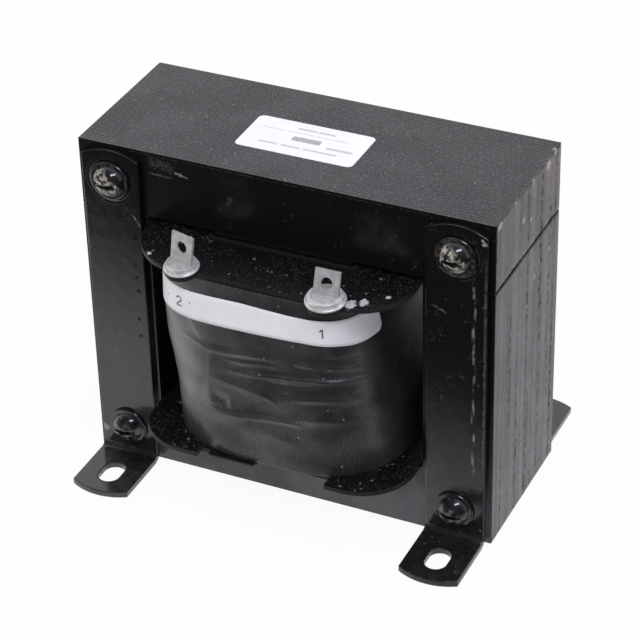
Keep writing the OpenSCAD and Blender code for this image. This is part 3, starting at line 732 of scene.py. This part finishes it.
def coilPoint(angle, height, outward=0.0):
    # angle in radians from +X, height and outward in millimetres; gives arrays x, y
    s = coilShape
    c, d = np.cos(angle), np.sin(angle)
    swell = smoothstep((height - s["flareFrom"]) / (s["flareTo"] - s["flareFrom"]))
    lean = np.clip((height - s["leanFrom"]) / (s["leanTo"] - s["leanFrom"]), 0, 1)
    left, right, front = smoothstep(-c * 4), smoothstep(c * 4), smoothstep(-d * 4)
    corner = s["leftLowSquareness"] + (s["leftTopSquareness"] - s["leftLowSquareness"]) * swell
    square = s["squareness"] + (corner - s["squareness"]) * left * front
    square = square + (s["rightTopSquareness"] - s["squareness"]) * lean * right
    tuck = smoothstep((height - s["tuckFrom"]) / (s["tuckTo"] - s["tuckFrom"]))
    leftOut = s["leftTop"] * swell - s["leftTuck"] * tuck
    halfX = s["halfX"] + outward + leftOut * left - s["rightIn"] * lean * right
    halfY = s["halfY"] + outward
    return halfX * np.sign(c) * np.abs(c) ** (2 / square), halfY * np.sign(d) * np.abs(d) ** (2 / square)


def evenAngles(height, count, first=-270.0, last=90.0, frontWeight=1.0):
    # angles that divide the outline into even lengths, or finer ones in front; first and last in degrees
    steps = np.linspace(-1, 1, 801)[:-1]
    angle = np.concatenate([quarter * 90 + 45 * steps ** 3 for quarter in (-3, -2, -1, 0, 1)])
    angle = np.radians(np.concatenate([[first], angle[(angle > first) & (angle < last)], [last]]))
    x, y = coilPoint(angle, np.full_like(angle, height))
    lengths = np.hypot(np.diff(x), np.diff(y)) * np.where(y[1:] < 0, frontWeight, 1.0)
    total = np.concatenate([[0], np.cumsum(lengths)])
    return np.interp(np.linspace(0, total[-1], count), total, angle)


# Folds of the tape in front, as (x, z) along each fold, with height and half width, in millimetres
tapeFolds = (
    (((-12.0, 55.5), (-2.5, 56.2), (5.5, 57.4), (17.0, 58.8), (26.5, 58.8), (31.0, 58.2), (36.0, 56.5)),
     1.1, 0.75),
    (((2.0, 55.4), (8.0, 56.4), (13.0, 57.0), (19.0, 57.6)), 0.6, 0.5),
    (((-30.0, 64.5), (-24.0, 63.5), (-16.0, 61.8), (-10.0, 61.9), (-2.0, 63.1), (10.0, 63.6)), 0.65, 1.0),
    (((-12.0, 59.2), (-5.0, 59.6), (3.0, 60.8), (9.0, 61.2)), 0.35, 0.8),
    (((11.0, 63.8), (17.0, 63.6), (21.0, 62.8)), 0.5, 0.7),
    (((19.0, 63.6), (26.0, 63.4), (31.0, 61.5)), 0.5, 0.9),
    (((20.0, 67.5), (26.0, 68.0), (31.0, 67.6)), 0.3, 1.0),
    (((-17.0, 50.5), (-10.5, 51.6), (-3.0, 50.7), (2.0, 50.0), (7.0, 47.0)), 0.9, 1.15),
    (((-20.0, 40.0), (-13.0, 39.7), (-7.0, 40.2), (0.5, 41.4), (7.5, 42.2), (16.0, 41.4)), 1.0, 0.8),
    (((9.0, 50.2), (17.0, 51.9), (26.0, 52.5), (32.0, 50.0)), 0.8, 1.2),
    (((4.0, 42.6), (14.0, 44.0), (22.0, 44.7), (31.0, 44.0)), 0.45, 1.7),
    (((-17.0, 45.0), (-13.0, 43.8), (-9.5, 43.6)), -0.8, 2.0),
    (((-10.0, 34.5), (2.0, 35.5), (16.0, 34.0)), 0.22, 2.4),
)
tapeSettings = {
    "around": 480, "upward": 150, "frontWeight": 2.2, "thickness": 1.0, "lap": 0.3, "lapBlur": 2.4,
    "lapEdge": ((86.0, -33.0), (75.0, -25.5), (69.5, -21.5), (60.0, -15.5), (49.0, -16.5), (39.0, -18.5),
                (24.0, -20.5)),
    "ripple": 0.12, "deepest": -0.9,
    "foldedBefore": -10,   # folds and lap lie only where y is less than this
    "foldCorner": 1.5, "foldFade": 0.3,   # rounding of a fold's corners, and share that fades at each end
}


def foldHeight(x, z, points, height, width):
    px, pz = np.array(points).T
    middle = np.interp(x, px, pz)
    corner, ending = tapeSettings["foldCorner"], tapeSettings["foldFade"] * (px[-1] - px[0])
    bend = np.interp(x, px + corner, pz) + np.interp(x, px - corner, pz)   # rounds the corners of the fold
    middle = 0.5 * middle + 0.25 * bend
    fade = smoothstep((x - px[0]) / ending) * smoothstep((px[-1] - x) / ending)
    return height * fade * np.exp(-((z - middle) / width) ** 2)


def tapeRelief(x, y, z):
    relief = np.zeros_like(x)
    for points, height, width in tapeFolds:
        relief += foldHeight(x, z, points, height, width)
    lapZ, lapX = np.array(tapeSettings["lapEdge"][::-1]).T
    edge = np.interp(z, lapZ, lapX)
    relief -= tapeSettings["lap"] * smoothstep((edge - x) / tapeSettings["lapBlur"])
    # slow waves over the whole cloth
    wave = np.sin(0.31 * x + 0.17 * z) * np.sin(0.23 * z - 0.11 * x + 1.3)
    wave = wave + 0.6 * np.sin(0.52 * z + 0.09 * x)
    ripple = tapeSettings["ripple"] * wave
    relief += ripple
    return np.where(y < tapeSettings["foldedBefore"], np.maximum(relief, tapeSettings["deepest"]), ripple)


# The top flange is bent down where it leaves the front of the core, and the wraps end under it
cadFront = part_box("e_laminations")[0][1] / mm
flangeDroop = math.radians(5.5)


def drooped(y, z, depth):
    # height of the underside of the top flange over a point, less depth
    hinge = cadFront - y
    return np.where(y < cadFront, z - np.tan(flangeDroop) * hinge - depth, z - depth)


def tapeSurface(angle, z, outward=0.0):
    x, y = coilPoint(angle, z, outward)
    relief = tapeRelief(x, y, z)
    reach = np.hypot(x, y)
    return x * (1 + relief / reach), y * (1 + relief / reach)


def ringShell(outer, inner):
    # two stacks of rings joined into one closed shell
    rings = list(outer) + list(reversed(inner))
    count = len(rings[0])
    points = np.concatenate(rings) * mm
    faces = gridFaces(len(rings), count, True)
    last = (len(rings) - 1) * count
    faces += [(last + c, last + (c + 1) % count, (c + 1) % count, c) for c in range(count)]
    return points, faces


def coilRows(around, upward, low, high, outward, frontWeight=1.0, surface=coilPoint):
    rows = []
    for part in np.linspace(0, 1, upward):
        angle = evenAngles(low + part * (high - low), around + 1, frontWeight=frontWeight)[:-1]
        x, y = coilPoint(angle, low + part * (high - low), outward)
        z = low + part * (drooped(y, high, coilShape["underFlange"]) - low)
        x, y = surface(angle, z, outward)
        rows.append(np.stack((x, y, z), axis=1))
    return rows


def makeTapeWrap():
    s = tapeSettings
    low, high = (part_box("tape_wrap")[k][2] / mm for k in (0, 1))
    outer = coilRows(s["around"], s["upward"], low, high, 0.0, s["frontWeight"], tapeSurface)
    inner = coilRows(s["around"], 2, low, high, -s["thickness"], s["frontWeight"])
    points, faces = ringShell(outer, inner)
    item = addMesh("tapeWrap", points, faces, "tape", "cloth_tape", ("tape_wrap",))
    # lengths along the cloth, for its weave
    lengths = item.data.attributes.new("cloth", "FLOAT_VECTOR", "POINT")
    middle = outer[len(outer) // 2]
    along = np.concatenate([[0], np.cumsum(np.hypot(np.diff(middle[:, 0]), np.diff(middle[:, 1])))]) * mm
    table = np.stack((np.tile(along, len(outer) + 2), points[:, 2], np.zeros(len(points))), axis=1)
    lengths.data.foreach_set("vector", table.ravel())


# Paper wrap and winding under the tape
coilLayers = {"around": 180, "upward": 30, "paper": 0.8, "gap": 0.05}   # last two in millimetres


def makeLayers():
    s = coilLayers
    out = -tapeSettings["thickness"] - s["gap"]
    low, high = (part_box("kraft_paper_wrap")[k][2] / mm for k in (0, 1))
    outer = coilRows(s["around"], s["upward"], low, high, out)
    inner = coilRows(s["around"], 2, low, high, out - s["paper"])
    addMesh("paperWrap", *ringShell(outer, inner), "paper", "kraft_paper", ("kraft_paper_wrap",))
    low, high = (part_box("copper_winding")[k][2] / mm for k in (0, 1))
    out -= s["paper"] + s["gap"]
    outer = coilRows(s["around"], s["upward"], low, high, out)
    # the inside of the winding follows the square tube
    halfX, halfY = (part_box("coil_tube")[1][k] / mm + s["gap"] for k in (0, 1))
    inner = []
    for row in (outer[0], outer[-1]):
        x, y = row[:, 0] / halfX, row[:, 1] / halfY
        reach = np.maximum(np.abs(x), np.abs(y))
        inner.append(np.stack((x / reach * halfX, y / reach * halfY, row[:, 2]), axis=1))
    addMesh("magnetWinding", *ringShell(outer, inner), "copper", "magnet_wire", ("copper_winding",))


makeTapeWrap()
makeLayers()
print("coil wraps made")


# White band with the terminal numbers, stuck round the front of the coil
bandSettings = {
    "from": -160.0, "to": -17.0,   # degrees round the coil, from the left flank to the right one
    "around": 220, "upward": 8, "stand": 0.10, "thickness": 0.16, "middle": 75.0,   # last three in mm
    "top": ((-42.0, 79.8), (-23.0, 80.0), (-5.0, 80.6), (10.0, 80.0), (29.0, 79.7), (33.0, 79.6)),
    "low": ((-42.0, 70.0), (-22.0, 70.4), (0.0, 71.0), (15.0, 71.5), (25.0, 71.1), (29.5, 70.1),
            (33.0, 69.8)),
    "clip": 1.4,   # the lower right corner is cut off by this much
}


def angleAt(x, z):
    # place round the front of the coil at a distance x to the right of the middle
    angles = evenAngles(z, 1201, -180.0, 0.0)
    xs, _ = coilPoint(angles, np.full_like(angles, z))
    return float(np.interp(x, xs, angles))


def bandEdge(name, x):
    px, pz = np.array(bandSettings[name]).T
    return np.interp(x, px, pz)


def closedSheet(front, back, rows, columns):
    # joins two grids of points into one closed sheet
    points = np.concatenate((front, back))
    count = rows * columns
    faces = gridFaces(rows, columns)
    faces += [tuple(count + i for i in reversed(face)) for face in gridFaces(rows, columns)]
    rim = list(range(columns))
    rim += [r * columns + columns - 1 for r in range(1, rows)]
    rim += [(rows - 1) * columns + c for c in range(columns - 2, -1, -1)]
    rim += [r * columns for r in range(rows - 2, 0, -1)]
    for k, a in enumerate(rim):
        b = rim[(k + 1) % len(rim)]
        faces.append((b, a, count + a, count + b))
    return points, faces


def makeBand():
    s = bandSettings
    angle = evenAngles(s["middle"], s["around"], s["from"], s["to"])
    middleX, middleY = coilPoint(angle, np.full_like(angle, s["middle"]))
    top, low = bandEdge("top", middleX), bandEdge("low", middleX)
    length = np.concatenate([[0], np.cumsum(np.hypot(np.diff(middleX), np.diff(middleY)))])
    toEnd = length[-1] - length
    low = low + s["clip"] * np.clip(1 - toEnd / s["clip"], 0, 1)
    sheets = []
    for outward in (s["stand"] + s["thickness"], s["stand"]):
        rows = []
        for part in np.linspace(0, 1, s["upward"]):
            z = low + part * (top - low)
            x, y = coilPoint(angle, z, outward)
            rows.append(np.stack((x, y, z), axis=1))
        sheets.append(np.concatenate(rows) * mm)
    points, faces = closedSheet(sheets[0], sheets[1], s["upward"], s["around"])
    addMesh("numberBand", points, faces, "band", "white_tape", ("number_band",))


# Printed numbers and dots, each stroke as (x, z) from the middle of the figure
figureSettings = {
    "width": 0.42, "thickness": 0.03, "sunk": 0.02, "steps": 6,   # millimetres, and steps from place to place
    "one": (((-0.75, 0.75), (-0.2, 1.05), (0.1, 1.55), (0.1, -1.55)),),
    "two": (((-1.0, 0.8), (-0.8, 1.35), (-0.1, 1.6), (0.65, 1.35), (0.85, 0.75), (0.5, 0.1),
             (-0.5, -0.7), (-1.05, -1.5), (1.0, -1.5)),),
    "dot": (((-0.22, 0.0), (0.22, 0.0)),),
    "places": (("one", 20.6, 75.6), ("two", -25.6, 75.0), ("dot", -21.6, 75.9), ("dot", -30.5, 74.8)),
}


def makeFigures():
    s = figureSettings
    band = bandSettings
    vertices, faces = [], []
    for kind, middleX, middleZ in s["places"]:
        for stroke in s[kind]:
            line = np.array(stroke)
            steps = np.linspace(0, len(line) - 1, s["steps"] * (len(line) - 1) + 1)
            dx, dz = (np.interp(steps, range(len(line)), line[:, k]) for k in (0, 1))
            tx, tz = np.gradient(dx), np.gradient(dz)
            size = np.hypot(tx, tz)
            nx, nz = -tz / size * s["width"] / 2, tx / size * s["width"] / 2
            sheets = []
            for lift in (s["thickness"], -s["sunk"]):
                rows = []
                for side in (-1, 1):
                    z = middleZ + dz + side * nz
                    angle = np.array([angleAt(middleX + a, band["middle"]) for a in dx + side * nx])
                    stand = band["stand"] + band["thickness"] + lift
                    x, y = coilPoint(angle, z, stand)
                    rows.append(np.stack((x, y, z), axis=1))
                sheets.append(np.concatenate(rows) * mm)
            points, sheetFaces = closedSheet(sheets[0], sheets[1], 2, len(steps))
            start = len(vertices)
            vertices += list(points)
            faces += [tuple(start + i for i in face) for face in sheetFaces]
    addMesh("bandFigures", vertices, faces, "ink", "white_tape", smooth=False)


makeBand()
makeFigures()
print("number band made")


# Varnish that has filled the steps between the sheets at both ends of the core
skinSettings = {
    "stand": 0.02, "relief": 0.03, "thickness": 0.10, "step": 0.9, "ragged": 0.45,   # millimetres
    "across": 25.9, "foot": 0.25, "head": 112.0, "seed": 11,
}


def makeEndVarnish():
    s = skinSettings
    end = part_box("e_laminations")[1][0] / mm
    jointLow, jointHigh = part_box("e_laminations")[1][2] / mm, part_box("i_laminations")[0][2] / mm
    parts = {"Leg": (s["foot"], jointLow, 0, 1), "Bar": (jointHigh, s["head"], 1, 0)}
    rng = np.random.default_rng(s["seed"])
    for sideName, side in (("left", -1), ("right", 1)):
        for partName, (low, high, raggedLow, raggedHigh) in parts.items():
            columns = int(2 * s["across"] / s["step"])
            rows = int((high - low) / s["step"])
            y = np.linspace(-s["across"], s["across"], columns) * side
            runs = np.convolve(rng.normal(0, 1, columns + 4), np.ones(5) / 3, "valid")
            nibble = [s["ragged"] * np.abs(rng.normal(0, 0.5, columns)) for _ in range(2)]
            sheets = [[], []]
            for k, part in enumerate(np.linspace(0, 1, rows)):
                z = low + part * (high - low)
                z = z + nibble[0] * raggedLow * (1 - part) ** 6 - nibble[1] * raggedHigh * part ** 6
                relief = s["relief"] * np.clip(0.5 + 0.35 * runs + rng.normal(0, 0.10, columns), 0, 1)
                faceAndBack = (end + s["stand"] + relief, np.full(columns, end - s["thickness"]))
                for sheet, x in zip(sheets, faceAndBack):
                    sheet.append(np.stack((side * x, y, z), axis=1))
            front, back = (np.concatenate(sheet) * mm for sheet in sheets)
            points, faces = closedSheet(front, back, rows, columns)
            addMesh(sideName + partName + "Varnish", points, faces, "core", "lamination_steel")


makeEndVarnish()
print("end varnish made")


# Plain room: a pale floor that runs on into a pale surround, and soft lamps
roomSettings = {
    "floorSize": 3.0, "floorTone": 0.8, "ambient": 0.5,
    # how far in front of the object reflections still find the pale floor, in metres
    "paleReach": 0.040, "darkReach": 0.118, "lean": 0.40, "darkFloor": 0.03,
    "darkSide": 0.10,   # how pale the surround behind the viewer is in reflections
    "glow": 0.94,   # how much of the floor's paleness is its own and takes no shadow
    "aim": (0, 0, 0.06),   # the place that the lamps point at
    "tint": (0.965, 0.945, 1.0),
    "lamps": {
        "glintLamp": {"place": (0.36, -0.35, 0.82), "size": 0.50, "depth": 0.17, "power": 3.4,
                      "mirrored": True, "colour": (0.76, 0.79, 1.0)},
        "keyLamp": {"place": (-0.55, -0.75, 0.75), "size": 0.7, "depth": 0.7, "power": 6.0,
                    "mirrored": False, "colour": (1.0, 0.985, 0.97)},
        "backLamp": {"place": (0.25, 0.45, 0.90), "size": 0.4, "depth": 0.4, "power": 3.0,
                     "mirrored": False, "colour": (0.92, 0.93, 1.0)},
    },
}


def seenBy(tree):
    path = addNode(tree, "LightPath").outputs
    mirrored = maths(tree, "MAXIMUM", path["Is Glossy Ray"], path["Is Transmission Ray"])
    return path["Is Camera Ray"], mirrored


def makeFloor():
    s = roomSettings
    half = s["floorSize"] / 2
    mesh = bpy.data.meshes.new("floor")
    corners = [(-half, -half, 0), (half, -half, 0), (half, half, 0), (-half, half, 0)]
    mesh.from_pydata(corners, [], [(0, 1, 2, 3)])
    floor = bpy.data.objects.new("floor", mesh)
    bpy.context.scene.collection.objects.link(floor)
    material, tree, shader, point, _ = startMaterial("paleFloor")
    setPlain(shader, Base_Color=(s["floorTone"],) * 3 + (1.0,), Roughness=0.9, Specular_IOR_Level=0.0)
    # in reflections the floor is pale near the object and falls off into the dark front of the room
    place = addNode(tree, "SeparateXYZ", {0: point}).outputs
    reach = maths(tree, "SUBTRACT", times(tree, place["X"], s["lean"]), place["Y"])
    pale = remap(tree, reach, s["darkReach"], s["paleReach"], s["darkFloor"], 1.0)
    direct, mirrored = seenBy(tree)
    strength = maths(tree, "ADD", direct, times(tree, mirrored, pale))
    tone = mixColours(tree, mirrored, (1, 1, 1), s["tint"])
    glow = addNode(tree, "Emission", {"Color": tone, "Strength": strength})
    amount = maths(tree, "ADD", times(tree, direct, s["glow"]), mirrored)
    blended = addNode(tree, "MixShader", {0: amount, 1: shader.outputs[0], 2: glow.outputs[0]})
    tree.links.new(blended.outputs[0], tree.nodes["Material Output"].inputs["Surface"])
    mesh.materials.append(material)


def makeSurround():
    s = roomSettings
    world = bpy.data.worlds.new("surround")
    world.use_nodes = True
    tree = world.node_tree
    way = addNode(tree, "SeparateXYZ", {0: addNode(tree, "TexCoord").outputs["Generated"]}).outputs
    pale = remap(tree, way["Y"], -0.30, 0.20, s["darkSide"], 1.0)
    direct, mirrored = seenBy(tree)
    other = oneMinus(tree, maths(tree, "ADD", direct, mirrored))
    strength = maths(tree, "ADD", direct, times(tree, mirrored, pale))
    strength = maths(tree, "ADD", strength, times(tree, other, s["ambient"]))
    background = tree.nodes["Background"].inputs
    tree.links.new(strength, background["Strength"])
    tree.links.new(mixColours(tree, mirrored, (1, 1, 1), s["tint"]), background["Color"])
    bpy.context.scene.world = world


def makeLamps():
    aim = Vector(roomSettings["aim"])
    for name, lamp in roomSettings["lamps"].items():
        data = bpy.data.lights.new(name, "AREA")
        data.shape = "RECTANGLE"
        data.size, data.size_y = lamp["size"], lamp["depth"]
        data.energy, data.color = lamp["power"], lamp["colour"]
        item = bpy.data.objects.new(name, data)
        item.location = lamp["place"]
        item.visible_glossy = lamp["mirrored"]
        item.rotation_euler = (aim - Vector(lamp["place"])).to_track_quat("-Z", "Y").to_euler()
        bpy.context.scene.collection.objects.link(item)


makeFloor()
makeSurround()
makeLamps()
print("room made")
